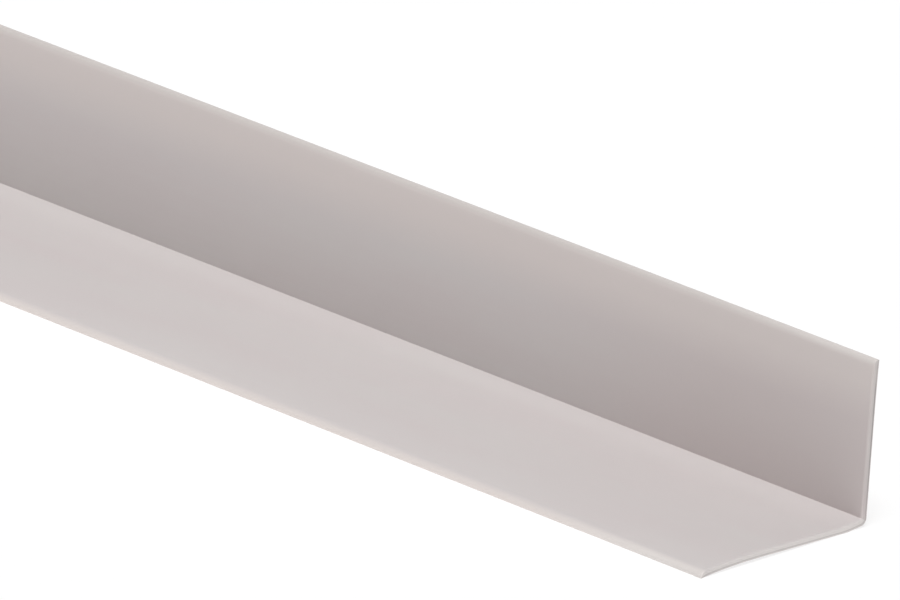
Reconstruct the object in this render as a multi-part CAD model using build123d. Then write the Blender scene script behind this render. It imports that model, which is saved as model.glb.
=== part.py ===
from build123d import *
import os
from math import atan2, cos, degrees, radians, sin, tan

# Flexible skirting strip: one extruded angle of soft PVC, lying as it lands on a level floor.
# The section is a thin L with a sharp crease inside, an eased heel outside and a lip on both long edges.
# It is drawn square, carried along X, then set down on its heel and the tip of its front lip.

# Sizes in millimetres, angles in degrees
length = 1000.0
floor_leg = 32.0
wall_leg = 24.0
leg_thickness = 1.0

# Lips: the outer stretch of each leg, bent to press on the floor or the wall
floor_lip_radius = 95.0
floor_lip_turn = 5.8
wall_lip_radius = 300.0
wall_lip_turn = 1.4

# Noses: the end of each lip, eased down on the room side to its edge, thin in front and blunt at the wall
floor_nose_reach = 1.5
floor_edge_thickness = 0.2
wall_nose_reach = 1.0
wall_edge_thickness = 0.6

# Heel: the underside slopes up to the outer corner, which is round
heel_reach = 3.5
heel_slope = 7.2
heel_radius = 1.0

# Root: the top of the floor leg sweeps up to the crease
root_reach = 5.2
root_rise = 0.5


def place(out, up):
    """Point of the section from its distance out into the room and its height."""
    return (-out, up)


# The flat of each leg ends where its lip starts to bend
floor_turn = radians(floor_lip_turn)
wall_turn = radians(wall_lip_turn)
floor_bend = (floor_lip_radius + floor_edge_thickness) * sin(floor_turn)
floor_flat = floor_leg - floor_bend - floor_nose_reach * cos(floor_turn)
wall_bend = (wall_lip_radius + wall_edge_thickness) * sin(wall_turn)
wall_flat = wall_leg - wall_bend - wall_nose_reach * cos(wall_turn)


def floor_lip(beyond, height):
    """Point of the floor leg's lip, a distance beyond its bend and a height above its underside."""
    radius = floor_lip_radius + height
    out = floor_flat + radius * sin(floor_turn) + beyond * cos(floor_turn)
    up = radius * cos(floor_turn) - floor_lip_radius - beyond * sin(floor_turn)
    return place(out, up)


def wall_lip(beyond, depth):
    """Point of the wall leg's lip, a distance beyond its bend and a depth in from its back."""
    radius = wall_lip_radius + depth
    out = radius * cos(wall_turn) - wall_lip_radius - beyond * sin(wall_turn)
    up = wall_flat + radius * sin(wall_turn) + beyond * cos(wall_turn)
    return place(out, up)


# Wall leg, from the heel up its back, over the nose and down its room side to the crease
wall_nose_depth = leg_thickness - wall_edge_thickness
heel_corner = place(0, heel_reach * tan(radians(heel_slope)))
crease = place(leg_thickness, leg_thickness + root_rise)
wall_back = place(0, wall_flat)
wall_room = place(leg_thickness, wall_flat)
wall_tip = wall_lip(wall_nose_reach, 0)
wall_tip_room = wall_lip(wall_nose_reach, wall_edge_thickness)
wall_edges = [
    Line(heel_corner, wall_back),
    TangentArc(wall_back, wall_lip(0, 0), tangent=(0, 1)),
    Polyline(wall_lip(0, 0), wall_tip, wall_tip_room),
    EllipticalCenterArc(
        wall_lip(0, wall_edge_thickness), wall_nose_reach, wall_nose_depth, rotation=90 - wall_lip_turn
    ),
    TangentArc(wall_room, wall_lip(0, leg_thickness), tangent=(0, 1)),
    Line(wall_room, crease),
]

# Floor leg, from the crease down the root and along its top, over the nose and back under it to the heel
floor_nose_depth = leg_thickness - floor_edge_thickness
floor_top = place(floor_flat, leg_thickness)
floor_under = place(floor_flat, 0)
floor_tip = floor_lip(floor_nose_reach, 0)
floor_tip_room = floor_lip(floor_nose_reach, floor_edge_thickness)
root_foot = place(leg_thickness + root_reach, leg_thickness)
heel_foot = place(heel_reach, 0)
floor_edges = [
    TangentArc(root_foot, crease, tangent=(1, 0)),
    Line(root_foot, floor_top),
    TangentArc(floor_top, floor_lip(0, leg_thickness), tangent=(-1, 0)),
    EllipticalCenterArc(
        floor_lip(0, floor_edge_thickness),
        floor_nose_reach,
        floor_nose_depth,
        start_angle=90,
        rotation=floor_lip_turn,
    ),
    Polyline(floor_tip_room, floor_tip, floor_lip(0, 0)),
    TangentArc(floor_under, floor_lip(0, 0), tangent=(-1, 0)),
    Polyline(floor_under, heel_foot, heel_corner),
]

# Strip: the outline with its heel rounded, carried along its length, both cuts square
outline = make_face(wall_edges + floor_edges)
outline = fillet(outline.vertices().sort_by_distance(heel_corner)[0], heel_radius)
strip = extrude(Plane.YZ * outline, length / 2, both=True)

# Rest: turned until the tip of the front lip is level with the heel's foot, and set on the floor
lean = atan2(-floor_tip[1], heel_foot[0] - floor_tip[0])
strip = Rot(-degrees(lean), 0, 0) * strip
box = strip.bounding_box()
strip = Pos(0, -box.center().Y, -box.min.Z) * strip
strip.label = "skirting_strip"

os.makedirs("parts", exist_ok=True)
export_step(strip, "parts/skirting_strip.step")
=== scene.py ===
import bpy
import numpy as np
from mathutils import Matrix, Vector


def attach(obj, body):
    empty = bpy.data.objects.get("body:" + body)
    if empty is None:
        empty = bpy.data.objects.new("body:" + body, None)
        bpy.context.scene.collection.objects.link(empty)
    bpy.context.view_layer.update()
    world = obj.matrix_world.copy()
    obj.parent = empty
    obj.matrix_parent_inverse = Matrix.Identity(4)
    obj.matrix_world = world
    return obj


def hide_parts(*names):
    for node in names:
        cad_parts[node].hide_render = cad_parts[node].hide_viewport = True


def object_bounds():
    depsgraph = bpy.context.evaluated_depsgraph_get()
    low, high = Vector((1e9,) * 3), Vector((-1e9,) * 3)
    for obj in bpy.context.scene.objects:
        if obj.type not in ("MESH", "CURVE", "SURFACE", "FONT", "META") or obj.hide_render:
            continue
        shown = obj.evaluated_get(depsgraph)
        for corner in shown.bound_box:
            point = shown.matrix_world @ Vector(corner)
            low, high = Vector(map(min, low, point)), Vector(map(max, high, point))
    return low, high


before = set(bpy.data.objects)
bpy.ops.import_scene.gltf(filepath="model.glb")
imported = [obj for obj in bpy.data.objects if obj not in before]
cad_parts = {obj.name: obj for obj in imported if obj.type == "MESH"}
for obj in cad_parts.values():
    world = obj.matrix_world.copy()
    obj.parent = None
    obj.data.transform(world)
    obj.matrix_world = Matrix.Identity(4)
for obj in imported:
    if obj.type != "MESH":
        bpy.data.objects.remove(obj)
cad_low, cad_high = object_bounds()

# Skirting strip: a thin angle of soft pale grey PVC, extruded through a die in one piece and cut to length.
# The standing leg goes against the wall and the lying leg on the floor, and the outer stretch of each leg
# is a lip that curves to press on its surface. The knife left the room side of each cut a little round.
MM = 0.001
QUARTER = np.pi / 2
LENGTH = cad_high.x - cad_low.x
FLOOR_LEG = 32.0 * MM
WALL_LEG = 24.0 * MM
THICKNESS = 1.0 * MM
FLOOR_LIP_RADIUS = 95.0 * MM
FLOOR_LIP_TURN = np.radians(5.8)
WALL_LIP_RADIUS = 300.0 * MM
WALL_LIP_TURN = np.radians(1.4)
FLOOR_NOSE = 1.5 * MM
FLOOR_EDGE = 0.2 * MM
WALL_NOSE = 1.0 * MM
WALL_EDGE = 0.6 * MM
HEEL_REACH = 3.5 * MM
HEEL_SLOPE = np.radians(7.2)
HEEL_RADIUS = 1.0 * MM
ROOT_REACH = 5.2 * MM
ROOT_RISE = 0.5 * MM
ROOT_OVER_HEEL = 0.5 * MM
CUT_ROUND = 0.3 * MM
ROOM_SIDE_DRAW = 0.3
OUTER_SIDE_DRAW = 0.06

# Points along each stretch of the section, stations along the strip, and the angle of a sharp edge
LIP_POINTS = 16
NOSE_POINTS = 14
FLAT_POINTS = 8
HEEL_POINTS = 12
CUT_STATIONS = 10
STATION_STEP = 4.0 * MM
SHARP_ANGLE = np.radians(24)


def arc(centre, radius, start, end, count):
    """Points round a centre: the radius times the cosine and sine of evenly spaced angles."""
    angle = np.linspace(start, end, count)
    return np.asarray(centre) + radius * np.stack([np.cos(angle), np.sin(angle)], axis=1)


def flat(start, end):
    """Points evenly spaced on the straight line between two points, which are left out themselves."""
    return np.linspace(start, end, FLAT_POINTS)[1:-1]


def lip_sides(leg, radius, turn, nose, edge):
    """Outer and room side of a lip, as distances along the leg and off its outer face.

    Both bend about one centre, square to the end of the leg's flat. The outer side then runs straight on for
    the nose's reach, and the room side falls to the edge's thickness on a quarter of an ellipse.
    """
    ahead = np.array([np.cos(turn), -np.sin(turn)])
    off = np.array([np.sin(turn), np.cos(turn)])
    flat_end = leg - (radius + edge) * np.sin(turn) - nose * np.cos(turn)
    centre = np.array([flat_end, -radius])
    fall = np.linspace(0, QUARTER, NOSE_POINTS)[1:, None]
    outer_nose = centre + radius * off + nose * np.sin(fall) * ahead
    room_nose = outer_nose + (edge + (THICKNESS - edge) * np.cos(fall)) * off
    outer_bend = arc(centre, radius, QUARTER, QUARTER - turn, LIP_POINTS)
    room_bend = arc(centre, radius + THICKNESS, QUARTER, QUARTER - turn, LIP_POINTS)
    return np.concatenate([outer_bend, outer_nose]), np.concatenate([room_bend, room_nose])


def root(out):
    """Top of the root at distances out from the wall: an arc that leaves the floor leg's top level."""
    radius = (ROOT_REACH**2 + ROOT_RISE**2) / (2 * ROOT_RISE)
    foot = THICKNESS + ROOT_REACH
    return np.stack([out, THICKNESS + radius - np.sqrt(radius**2 - (foot - out) ** 2)], axis=1)


def section_sides():
    """Outer and room side of the section, as distances out from the wall and up from the floor.

    Both run from the edge of the wall lip to the edge of the floor lip with as many points: the lip, the
    flat, the corner, the flat and the lip. The corner has three stretches of as many points. Outside they
    are the round heel, its slope and the underside up to the root's foot. Inside they share out the root.
    """
    wall_lip = lip_sides(WALL_LEG, WALL_LIP_RADIUS, WALL_LIP_TURN, WALL_NOSE, WALL_EDGE)
    wall_outer, wall_room = [side[::-1, ::-1] for side in wall_lip]
    floor_outer, floor_room = lip_sides(FLOOR_LEG, FLOOR_LIP_RADIUS, FLOOR_LIP_TURN, FLOOR_NOSE, FLOOR_EDGE)
    heel_up = HEEL_REACH * np.tan(HEEL_SLOPE) + HEEL_RADIUS * np.tan((QUARTER - HEEL_SLOPE) / 2)
    heel = arc([HEEL_RADIUS, heel_up], HEEL_RADIUS, 2 * QUARTER, 3 * QUARTER - HEEL_SLOPE, HEEL_POINTS)
    heel_foot = [HEEL_REACH, 0]
    root_foot = THICKNESS + ROOT_REACH
    root_marks = [THICKNESS, THICKNESS + ROOT_OVER_HEEL, HEEL_REACH, root_foot]
    stretches = len(root_marks) - 1
    root_steps = np.linspace(0, stretches, stretches * (HEEL_POINTS - 1) + 1)
    room_root = root(np.interp(root_steps, np.arange(len(root_marks)), root_marks))
    outer = [
        wall_outer,
        flat(wall_outer[-1], heel[0]),
        heel,
        np.linspace(heel[-1], heel_foot, HEEL_POINTS)[1:],
        np.linspace(heel_foot, [root_foot, 0], HEEL_POINTS)[1:],
        flat([root_foot, 0], floor_outer[0]),
        floor_outer,
    ]
    room = [
        wall_room,
        flat(wall_room[-1], room_root[0]),
        room_root,
        flat(room_root[-1], floor_room[0]),
        floor_room,
    ]
    return np.concatenate(outer), np.concatenate(room)


def strip_mesh():
    """The section carried along X, drawn in towards each cut, with a cut face across each end.

    The lean brings the tip of the floor lip level with the heel's foot. Over the last stretch before a cut
    the distance along follows the sine of a quarter turn, and each side draws in towards the other by one
    less the cosine. Skin faces join neighbouring stations. A cut face is a ladder between the two sides.
    """
    outer, room = section_sides()
    tip = outer[-1]
    lean = np.arctan2(-tip[1], tip[0] - HEEL_REACH)
    tilt = np.array([[-np.cos(lean), np.sin(lean)], [np.sin(lean), np.cos(lean)]])
    outer = outer @ tilt
    room = room @ tilt
    across, height = np.concatenate([outer, room]).T
    seat = [(across.min() + across.max()) / 2, height.min()]

    turn = np.linspace(0, QUARTER, CUT_STATIONS)
    ends = LENGTH / 2 - CUT_ROUND * (1 - np.sin(turn))
    middle = np.linspace(-ends[0], ends[0], round(LENGTH / STATION_STEP))[1:-1]
    along = np.concatenate([-ends[::-1], middle, ends])
    end_draw = 1 - np.cos(turn)
    draw = np.concatenate([end_draw[::-1], np.zeros(len(middle)), end_draw])
    inwards = draw[:, None, None] * (room - outer)
    outer_rings = outer + OUTER_SIDE_DRAW * inwards
    room_rings = room - ROOM_SIDE_DRAW * inwards
    rings = np.concatenate([outer_rings, room_rings[:, ::-1]], axis=1) - seat
    count = rings.shape[1]
    points = np.dstack([np.repeat(along[:, None], count, axis=1), rings])

    index = np.arange(len(along) * count).reshape(len(along), count)
    beside = np.roll(index, -1, axis=1)
    skin = np.stack([index[:-1], index[1:], beside[1:], beside[:-1]], axis=-1).reshape(-1, 4)
    side = np.arange(count // 2)
    facing = count - 1 - side
    far_cut = np.stack([side[:-1], side[1:], facing[1:], facing[:-1]], axis=-1)
    near_cut = far_cut[:, ::-1] + index[-1, 0]
    marks = {
        "cut": np.repeat(draw, count),
        "through": np.tile(np.repeat([0.0, 1.0], count // 2), len(along)),
    }
    return points.reshape(-1, 3), np.concatenate([skin, near_cut, far_cut]), marks


points, faces, marks = strip_mesh()
mesh = bpy.data.meshes.new("skirting_strip_visual")
mesh.from_pydata(points.tolist(), [], faces.tolist())
for name, values in marks.items():
    mesh.attributes.new(name, "FLOAT", "POINT").data.foreach_set("value", values)
mesh.shade_smooth()
mesh.set_sharp_from_angle(angle=SHARP_ANGLE)
strip = bpy.data.objects.new("soft_pvc_strip", mesh)
bpy.context.scene.collection.objects.link(strip)

# Finish of the strip: a satin skin with faint die lines and a fine grain, in a compound of varied tone. The
# wall leg has painted light, warmer and lighter towards its top, is greyer at its crown and has a painted
# rosy shade near the cut. The front edge is paler with painted light, and both edges are creamy near the
# cut. The knife left the cut pale and rough, with a dark line of painted shade along its outer border.
PALE = (0.606, 0.572, 0.563, 1)
DEEP = (0.598, 0.546, 0.543, 1)
# Painted shade: the wall leg turns darker and rosier over its last stretch before the cut
ROSY_SHADE = (0.574, 0.503, 0.495, 1)
# Painted light: the paler band along the front edge of the floor lip
FRONT_LIGHT = (0.685, 0.625, 0.60, 1)
# Painted light: the wall leg lighter and warmer towards its top
WALL_TOP_LIGHT = (0.640, 0.580, 0.562, 1)
CROWN = (0.604, 0.560, 0.539, 1)
CREAM = (0.711, 0.667, 0.646, 1)
PRESSED = (0.72, 0.68, 0.66, 1)
# Painted shade: a dark line along the outer border of each cut face
CUT_EDGE_SHADE = (0.34, 0.315, 0.31, 1)
PVC_IOR = 1.53
SKIN_ROUGHNESS = (0.40, 0.52)
CUT_ROUGHNESS = 0.66
RELIEF = 0.005 * MM

# Noises: waves per metre along each axis, fineness, the span that is used, and shares in what they drive
MOTTLE_SCALE = (30, 120, 120)
MOTTLE_DETAIL = 4
DIE_LINE_SCALE = (0.8, 1100, 1100)
DIE_LINE_DETAIL = 2
GRAIN_SCALE = (5000, 5000, 5000)
GRAIN_DETAIL = 1
DRAG_SCALE = (200, 4000, 350)
DRAG_DETAIL = 3
NOISE_SPAN = (0.3, 0.7)
DIE_LINES_IN_TONE = 0.35
GRAIN_IN_GLOSS = 0.5
GRAIN_IN_RELIEF = 0.4

# Tones of the skin: where each starts and where it is full, and its share where that isn't the whole
# Painted shade: where the wall leg turns darker and rosier towards the cut
ROSY_SHADE_SPAN = (cad_high.x - 62 * MM, cad_high.x - 28 * MM)
ROSY_SHADE_SHARES = (0, 0.6)
# Painted light: where the front edge of the floor lip turns paler
FRONT_LIGHT_SPAN = (cad_low.y + 0.9 * MM, cad_low.y + 0.05 * MM)
# Painted light: heights over which the wall leg turns lighter and warmer
WALL_TOP_LIGHT_SPAN = (14.5 * MM, 20.5 * MM)
CROWN_SPAN = (cad_high.z - 0.7 * MM, cad_high.z - 0.3 * MM)
CREAM_SPAN = (cad_high.x - 30 * MM, cad_high.x - 10 * MM)
CREAM_ON_CROWN = 0.5

# Mitre: the slanting plane through the crease that parts the wall leg from the floor leg
MITRE_NORMAL = (0, 0.56, 1)
MITRE_SPAN = (9.55 * MM, 9.75 * MM)

# Tones of the cut: spans of how far the skin is drawn in, of the way through the leg, and of place
PRESSED_SPAN = (0.2, 0.7)
PRESSED_TIP_SPAN = (cad_low.y + 0.5 * MM, cad_low.y + 3 * MM)
PRESSED_TIP_SHARES = (0.2, 0.9)
PRESSED_WALL_SPAN = (4 * MM, 11 * MM)
PRESSED_WALL_SHARES = (0, 0.5)
FACE_SPAN = (0.95, 1)
# Painted shade on the cut: where the dark line starts and ends through the leg, and how strong it is up the
# wall leg
CUT_EDGE_SHADE_START_SPAN = (0.1, 0.28)
CUT_EDGE_SHADE_END_SPAN = (0.4, 0.55)
CUT_EDGE_SHADE_FOOT_SPAN = (2 * MM, 10 * MM)
CUT_EDGE_SHADE_FOOT_SHARES = (0.45, 0.9)
CUT_EDGE_SHADE_TOP_SPAN = (19.5 * MM, 21.5 * MM)
CUT_EDGE_SHADE_TOP_SHARES = (1, 0.45)


def feed(tree, value, socket):
    """Links another node's socket into this one, or sets a plain value on it."""
    if isinstance(value, bpy.types.NodeSocket):
        tree.links.new(value, socket)
    else:
        socket.default_value = value


def noise(tree, place, scale, detail):
    """Noise on a position that is stretched by its own scale, in waves per metre, along each axis."""
    mapping = tree.nodes.new("ShaderNodeMapping")
    mapping.inputs["Scale"].default_value = scale
    texture = tree.nodes.new("ShaderNodeTexNoise")
    texture.inputs["Scale"].default_value = 1
    texture.inputs["Detail"].default_value = detail
    tree.links.new(place, mapping.inputs["Vector"])
    tree.links.new(mapping.outputs["Vector"], texture.inputs["Vector"])
    return texture.outputs["Fac"]


def ramp(tree, value, span, shares=(0, 1)):
    """Straight ramp from the first share to the second over the span of the value, held beyond it."""
    node = tree.nodes.new("ShaderNodeMapRange")
    for name, limit in zip(("From Min", "From Max", "To Min", "To Max"), (*span, *shares)):
        node.inputs[name].default_value = limit
    tree.links.new(value, node.inputs["Value"])
    return node.outputs["Result"]


def blend(tree, share, first, second, kind="FLOAT"):
    """First where the share is 0, second where it is 1, and between them in proportion."""
    node = tree.nodes.new("ShaderNodeMix")
    node.data_type = kind
    for name, value in (("Factor", share), ("A", first), ("B", second)):
        feed(tree, value, node.inputs[name])
    return node.outputs["Result"]


def both(tree, share, other):
    """Product of two shares, which is 1 only where both are."""
    return blend(tree, share, 0, other)


def tint(tree, under, share, colour):
    """Colour under, replaced by another colour by the share."""
    return blend(tree, share, under, colour, kind="RGBA")


def attribute(tree, name):
    """Values of one of the mesh's own attributes."""
    node = tree.nodes.new("ShaderNodeAttribute")
    node.attribute_name = name
    return node.outputs["Fac"]


pvc = bpy.data.materials.new("soft_grey_pvc")
pvc.use_nodes = True
tree = pvc.node_tree
surface = tree.nodes["Principled BSDF"]
surface.inputs["IOR"].default_value = PVC_IOR
place = tree.nodes.new("ShaderNodeTexCoord").outputs["Object"]
axes = tree.nodes.new("ShaderNodeSeparateXYZ")
tree.links.new(place, axes.inputs["Vector"])
along, across, height = [axes.outputs[name] for name in "XYZ"]
cut = attribute(tree, "cut")
through = attribute(tree, "through")
mottle = noise(tree, place, MOTTLE_SCALE, MOTTLE_DETAIL)
die_lines = noise(tree, place, DIE_LINE_SCALE, DIE_LINE_DETAIL)
grain = noise(tree, place, GRAIN_SCALE, GRAIN_DETAIL)
drag = noise(tree, place, DRAG_SCALE, DRAG_DETAIL)
mitre = tree.nodes.new("ShaderNodeVectorMath")
mitre.operation = "DOT_PRODUCT"
mitre.inputs[1].default_value = MITRE_NORMAL
tree.links.new(place, mitre.inputs[0])
standing = ramp(tree, mitre.outputs["Value"], MITRE_SPAN)

varied = ramp(tree, blend(tree, DIE_LINES_IN_TONE, mottle, die_lines), NOISE_SPAN)
# Painted rosy shade on the wall leg, growing towards the cut
painted_rosy_shade = both(tree, standing, ramp(tree, along, ROSY_SHADE_SPAN, ROSY_SHADE_SHARES))
# Painted light on the front edge of the floor lip
painted_front_light = ramp(tree, across, FRONT_LIGHT_SPAN)
# Painted light on the upper part of the wall leg
painted_wall_top_light = ramp(tree, height, WALL_TOP_LIGHT_SPAN)
crown = ramp(tree, height, CROWN_SPAN)
# Where the edges turn creamy: along the painted front light on the floor leg, and along the crown on the
# wall leg
edges = blend(tree, standing, painted_front_light, both(tree, crown, CREAM_ON_CROWN))
cream = both(tree, ramp(tree, along, CREAM_SPAN), edges)

pressed_floor = ramp(tree, across, PRESSED_TIP_SPAN, PRESSED_TIP_SHARES)
pressed_wall = ramp(tree, height, PRESSED_WALL_SPAN, PRESSED_WALL_SHARES)
pressed_leg = blend(tree, standing, pressed_floor, pressed_wall)
pressed = both(tree, ramp(tree, cut, PRESSED_SPAN), pressed_leg)
# Painted shade: a dark line across the outer part of each cut face, strongest part way up the wall leg
cut_edge_shade_end = ramp(tree, through, CUT_EDGE_SHADE_END_SPAN, (1, 0))
cut_edge_shade_line = both(tree, ramp(tree, through, CUT_EDGE_SHADE_START_SPAN), cut_edge_shade_end)
cut_edge_shade_foot = ramp(tree, height, CUT_EDGE_SHADE_FOOT_SPAN, CUT_EDGE_SHADE_FOOT_SHARES)
cut_edge_shade_top = ramp(tree, height, CUT_EDGE_SHADE_TOP_SPAN, CUT_EDGE_SHADE_TOP_SHARES)
cut_edge_shade_strength = both(tree, cut_edge_shade_foot, cut_edge_shade_top)
painted_cut_edge_shade = both(tree, ramp(tree, cut, FACE_SPAN), both(tree, cut_edge_shade_strength, cut_edge_shade_line))

colour = tint(tree, DEEP, varied, PALE)
tones = (
    (painted_rosy_shade, ROSY_SHADE),
    (painted_front_light, FRONT_LIGHT),
    (painted_wall_top_light, WALL_TOP_LIGHT),
    (crown, CROWN),
    (cream, CREAM),
    (pressed, PRESSED),
    (painted_cut_edge_shade, CUT_EDGE_SHADE),
)
for share, tone in tones:
    colour = tint(tree, colour, share, tone)
tree.links.new(colour, surface.inputs["Base Color"])
skin_roughness = ramp(tree, blend(tree, GRAIN_IN_GLOSS, die_lines, grain), NOISE_SPAN, SKIN_ROUGHNESS)
tree.links.new(blend(tree, cut, skin_roughness, CUT_ROUGHNESS), surface.inputs["Roughness"])
bump = tree.nodes.new("ShaderNodeBump")
bump.inputs["Distance"].default_value = RELIEF
skin_relief = blend(tree, GRAIN_IN_RELIEF, die_lines, grain)
tree.links.new(blend(tree, cut, skin_relief, drag), bump.inputs["Height"])
tree.links.new(bump.outputs["Normal"], surface.inputs["Normal"])
mesh.materials.append(pvc)

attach(strip, "root")
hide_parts("skirting_strip")

# Floor: a plain white sweep that the strip lies on, lit through from below. It is not part of the object.
# The strip gets its reflected light and its glow, which is weaker beside the cut. The camera and reflections
# see it nearly white, with the strip's shadow.
FLOOR_HALF = 8.0
SWEEP_REFLECTS = 0.9
SWEEP_GLOWS = (0.60, 0.15)
GLOW_SPAN = (cad_high.x - 20 * MM, cad_high.x + 20 * MM)
SHADOW_SHARE = 0.3
SEEN_GLOW = 0.72
corners = np.array([[-1, -1, 0], [1, -1, 0], [1, 1, 0], [-1, 1, 0]]) * FLOOR_HALF
floor_mesh = bpy.data.meshes.new("floor")
floor_mesh.from_pydata(corners.tolist(), [], [[0, 1, 2, 3]])
floor = bpy.data.objects.new("floor", floor_mesh)
bpy.context.scene.collection.objects.link(floor)


def backdrop_rays(tree):
    """Factor that is 1 for rays from the camera, a reflection or glass, and 0 for rays that carry light."""
    path = tree.nodes.new("ShaderNodeLightPath")
    either = tree.nodes.new("ShaderNodeMath")
    either.operation = "MAXIMUM"
    every = tree.nodes.new("ShaderNodeMath")
    every.operation = "MAXIMUM"
    tree.links.new(path.outputs["Is Camera Ray"], either.inputs[0])
    tree.links.new(path.outputs["Is Glossy Ray"], either.inputs[1])
    tree.links.new(either.outputs[0], every.inputs[0])
    tree.links.new(path.outputs["Is Transmission Ray"], every.inputs[1])
    return every.outputs[0]


def show(tree, output, lighting, seen):
    """Gives rays that carry light one shader, and rays that see the backdrop another."""
    pick = tree.nodes.new("ShaderNodeMixShader")
    tree.links.new(backdrop_rays(tree), pick.inputs["Fac"])
    tree.links.new(lighting, pick.inputs[1])
    tree.links.new(seen, pick.inputs[2])
    tree.links.new(pick.outputs[0], tree.nodes.new(output).inputs["Surface"])


def white_sheet(tree, reflected, glowing):
    """Diffuse white that reflects a share of the light, with a glow of a given strength added."""
    diffuse = tree.nodes.new("ShaderNodeBsdfDiffuse")
    diffuse.inputs["Color"].default_value = (reflected, reflected, reflected, 1)
    glow = tree.nodes.new("ShaderNodeEmission")
    feed(tree, glowing, glow.inputs["Strength"])
    added = tree.nodes.new("ShaderNodeAddShader")
    tree.links.new(diffuse.outputs[0], added.inputs[0])
    tree.links.new(glow.outputs[0], added.inputs[1])
    return added.outputs[0]


sweep = bpy.data.materials.new("white_sweep")
sweep.use_nodes = True
tree = sweep.node_tree
tree.nodes.clear()
spot = tree.nodes.new("ShaderNodeSeparateXYZ")
tree.links.new(tree.nodes.new("ShaderNodeTexCoord").outputs["Object"], spot.inputs["Vector"])
sweep_glow = ramp(tree, spot.outputs["X"], GLOW_SPAN, SWEEP_GLOWS)
lighting = white_sheet(tree, SWEEP_REFLECTS, sweep_glow)
seen = white_sheet(tree, SHADOW_SHARE, SEEN_GLOW)
show(tree, "ShaderNodeOutputMaterial", lighting, seen)
floor_mesh.materials.append(sweep)

# Light: an even white tent all round the strip, and one broad soft lamp from above and a little in front.
# Each strength is the tone that it gives to white. The camera and reflections see the tent as plain white.
TENT = 0.2
TENT_SEEN = 1.0
LAMP = 0.78
LAMP_WIDTH = np.radians(32)
TOWARDS_LAMP = np.array([0.2, -0.21, 0.96])
LAMP_LEVEL = np.array([1.0, 0.0, 0.0])


def white_tent(tree, strength):
    """White light of a given strength from all round."""
    tent = tree.nodes.new("ShaderNodeBackground")
    tent.inputs["Color"].default_value = (1, 1, 1, 1)
    tent.inputs["Strength"].default_value = strength
    return tent.outputs[0]


def aimed(back, level):
    """Axes of a lamp or camera as columns: right along level, up square to it, and back from its view."""
    right = level - np.dot(level, back) * back
    right /= np.linalg.norm(right)
    return Matrix(np.stack([right, np.cross(back, right), back], axis=1).tolist()).to_4x4()


world = bpy.data.worlds.new("tent")
bpy.context.scene.world = world
world.use_nodes = True
tree = world.node_tree
tree.nodes.clear()
show(tree, "ShaderNodeOutputWorld", white_tent(tree, TENT), white_tent(tree, TENT_SEEN))
lamp_data = bpy.data.lights.new("soft_lamp", "SUN")
lamp_data.angle = LAMP_WIDTH
lamp_data.energy = LAMP * np.pi
lamp = bpy.data.objects.new("soft_lamp", lamp_data)
lamp.matrix_world = aimed(TOWARDS_LAMP / np.linalg.norm(TOWARDS_LAMP), LAMP_LEVEL)
bpy.context.scene.collection.objects.link(lamp)

# Camera: a long lens that looks along the strip from its cut end, down into the angle between its legs.
# It is rolled by about three degrees.
AZIMUTH = np.radians(43.777)
ELEVATION = np.radians(19.914)
ROLL = np.radians(3.068)
AIM = np.array([cad_high.x - 88.114 * MM, 24.259 * MM, 5.0 * MM])
DISTANCE = 2.5604
SENSOR_MM = 36.0
LENS_MM = 740.8
FARTHEST = 100.0
UP = np.array([0, 0, 1])
camera_data = bpy.data.cameras.new("camera")
camera_data.sensor_width = SENSOR_MM
camera_data.lens = LENS_MM
camera_data.clip_end = FARTHEST
camera = bpy.data.objects.new("camera", camera_data)
level = np.array([np.cos(AZIMUTH), np.sin(AZIMUTH), 0])
back = np.cos(ELEVATION) * np.cross(level, UP) + np.sin(ELEVATION) * UP
rolled = np.cos(ROLL) * level + np.sin(ROLL) * np.cross(back, level)
camera.matrix_world = Matrix.Translation((AIM + DISTANCE * back).tolist()) @ aimed(back, rolled)
bpy.context.scene.collection.objects.link(camera)
bpy.context.scene.camera = camera
bpy.context.scene.view_settings.view_transform = "Standard"
